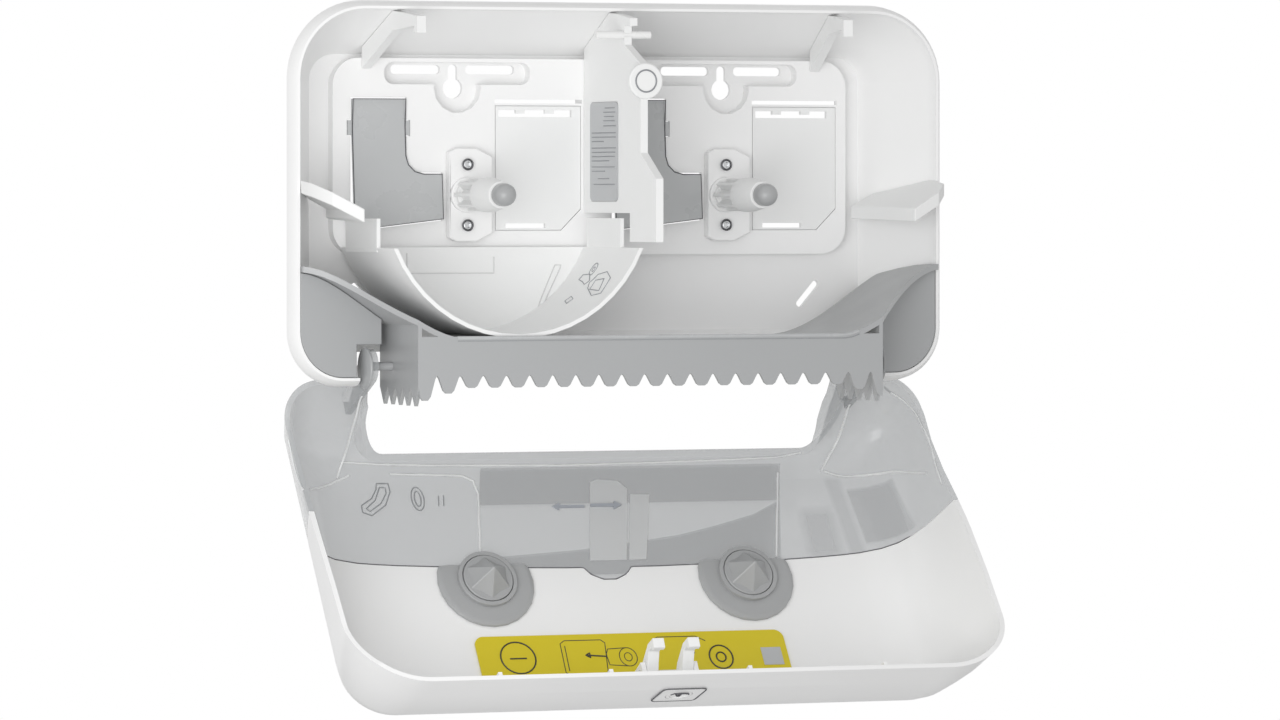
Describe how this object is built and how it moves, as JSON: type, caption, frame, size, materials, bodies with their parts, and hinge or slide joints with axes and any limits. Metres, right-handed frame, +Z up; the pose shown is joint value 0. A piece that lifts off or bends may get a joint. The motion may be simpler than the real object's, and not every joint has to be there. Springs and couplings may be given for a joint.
{
  "type": "double roll toilet paper dispenser",
  "caption": "Wall-hung dispenser for two toilet rolls side by side, shown with its bowed cover swung down on its bottom hinge.",
  "frame": {"origin": "on the wall face, midway between the two roll places and level with their spindles", "axes": "+X to the right seen from the front, +Y into the wall, +Z up"},
  "size_m": [0.36, 0.1565, 0.3598],
  "materials": {
    "white_plastic": "moulded, satin gloss",
    "guide_white": "moulded, fine matt",
    "tray_grey": "moulded grey, satin",
    "cap_grey": "moulded grey, satin",
    "smoke_window": "translucent smoke grey, polished",
    "steel": "zinc plated",
    "label_mustard": "printed film"
  },
  "bodies": {
    "housing": {"rear_housing": "white_plastic", "tear_tray": "tray_grey", "divider_arm": "guide_white", "info_plate": "guide_white", "round_badge": "guide_white", "latch_keeper_pin": "steel", "left_cheek": "tray_grey", "left_hinge_pin": "tray_grey", "left_wing": "guide_white", "left_bracket": "guide_white", "left_spindle_seat": "guide_white", "left_upper_screw": "steel", "left_lower_screw": "steel", "left_axle": "steel", "left_blanking_plate": "guide_white", "right_cheek": "tray_grey", "right_hinge_pin": "tray_grey", "right_wing": "guide_white", "right_bracket": "guide_white", "right_spindle_seat": "guide_white", "right_upper_screw": "steel", "right_lower_screw": "steel", "right_axle": "steel", "right_blanking_plate": "guide_white"},
    "cover": {"cover_shell": "white_plastic", "cover_window": "smoke_window", "instruction_label": "label_mustard", "lock_plate": "white_plastic", "left_cone_seat": "cap_grey", "right_cone_seat": "cap_grey"},
    "shutter": {"shutter": "guide_white"},
    "lock_barrel": {"lock_barrel": "white_plastic"},
    "latch_claw": {"latch_claw": "guide_white"},
    "left_spindle": {"left_spindle": "guide_white", "left_spindle_cap": "cap_grey"},
    "left_flap": {"left_roll_flap": "tray_grey"},
    "left_cone": {"left_cone": "cap_grey"},
    "right_spindle": {"right_spindle": "guide_white", "right_spindle_cap": "cap_grey"},
    "right_flap": {"right_roll_flap": "tray_grey"},
    "right_cone": {"right_cone": "cap_grey"}
  },
  "joints": [
    {"name": "cover_hinge", "type": "hinge", "parent": "housing", "child": "cover", "pos_m": [0, -0.056, -0.087], "axis": [1, 0, 0], "range_deg": [-147, 0]},
    {"name": "shutter_slide", "type": "slide", "parent": "housing", "child": "shutter", "axis": [1, 0, 0], "range_m": [0, 0.144]},
    {"name": "lock_turn", "type": "hinge", "parent": "cover", "child": "lock_barrel", "pos_m": [0, -0.12972, -0.251], "axis": [0, -0.3458, -0.9383], "range_deg": [0, 90]},
    {"name": "claw_rock", "type": "hinge", "parent": "cover", "child": "latch_claw", "pos_m": [-0.005, -0.12792, -0.24181], "axis": [1, 0, 0], "range_deg": [0, 18]},
    {"name": "left_spindle_spin", "type": "hinge", "parent": "housing", "child": "left_spindle", "pos_m": [-0.072, -0.04, 0], "axis": [0, 1, 0], "continuous": true},
    {"name": "left_flap_rock", "type": "hinge", "parent": "housing", "child": "left_flap", "pos_m": [-0.072, -0.0092, 0.0345], "axis": [1, 0, 0], "range_deg": [0, 8], "stiffness_Nm_per_rad": 0.02, "springref_deg": -2.86},
    {"name": "left_cone_spin", "type": "hinge", "parent": "cover", "child": "left_cone", "pos_m": [-0.072, -0.04132, -0.20027], "axis": [0, -0.8387, 0.5446], "continuous": true},
    {"name": "right_spindle_spin", "type": "hinge", "parent": "housing", "child": "right_spindle", "pos_m": [0.072, -0.04, 0], "axis": [0, 1, 0], "continuous": true},
    {"name": "right_flap_rock", "type": "hinge", "parent": "housing", "child": "right_flap", "pos_m": [0.072, -0.0092, 0.0345], "axis": [1, 0, 0], "range_deg": [0, 8], "stiffness_Nm_per_rad": 0.02, "springref_deg": -2.86},
    {"name": "right_cone_spin", "type": "hinge", "parent": "cover", "child": "right_cone", "pos_m": [0.072, -0.04132, -0.20027], "axis": [0, -0.8387, 0.5446], "continuous": true}
  ],
  "couplings": [
    {"joint": "claw_rock", "follows": "lock_turn", "ratio": 0.2}
  ]
}
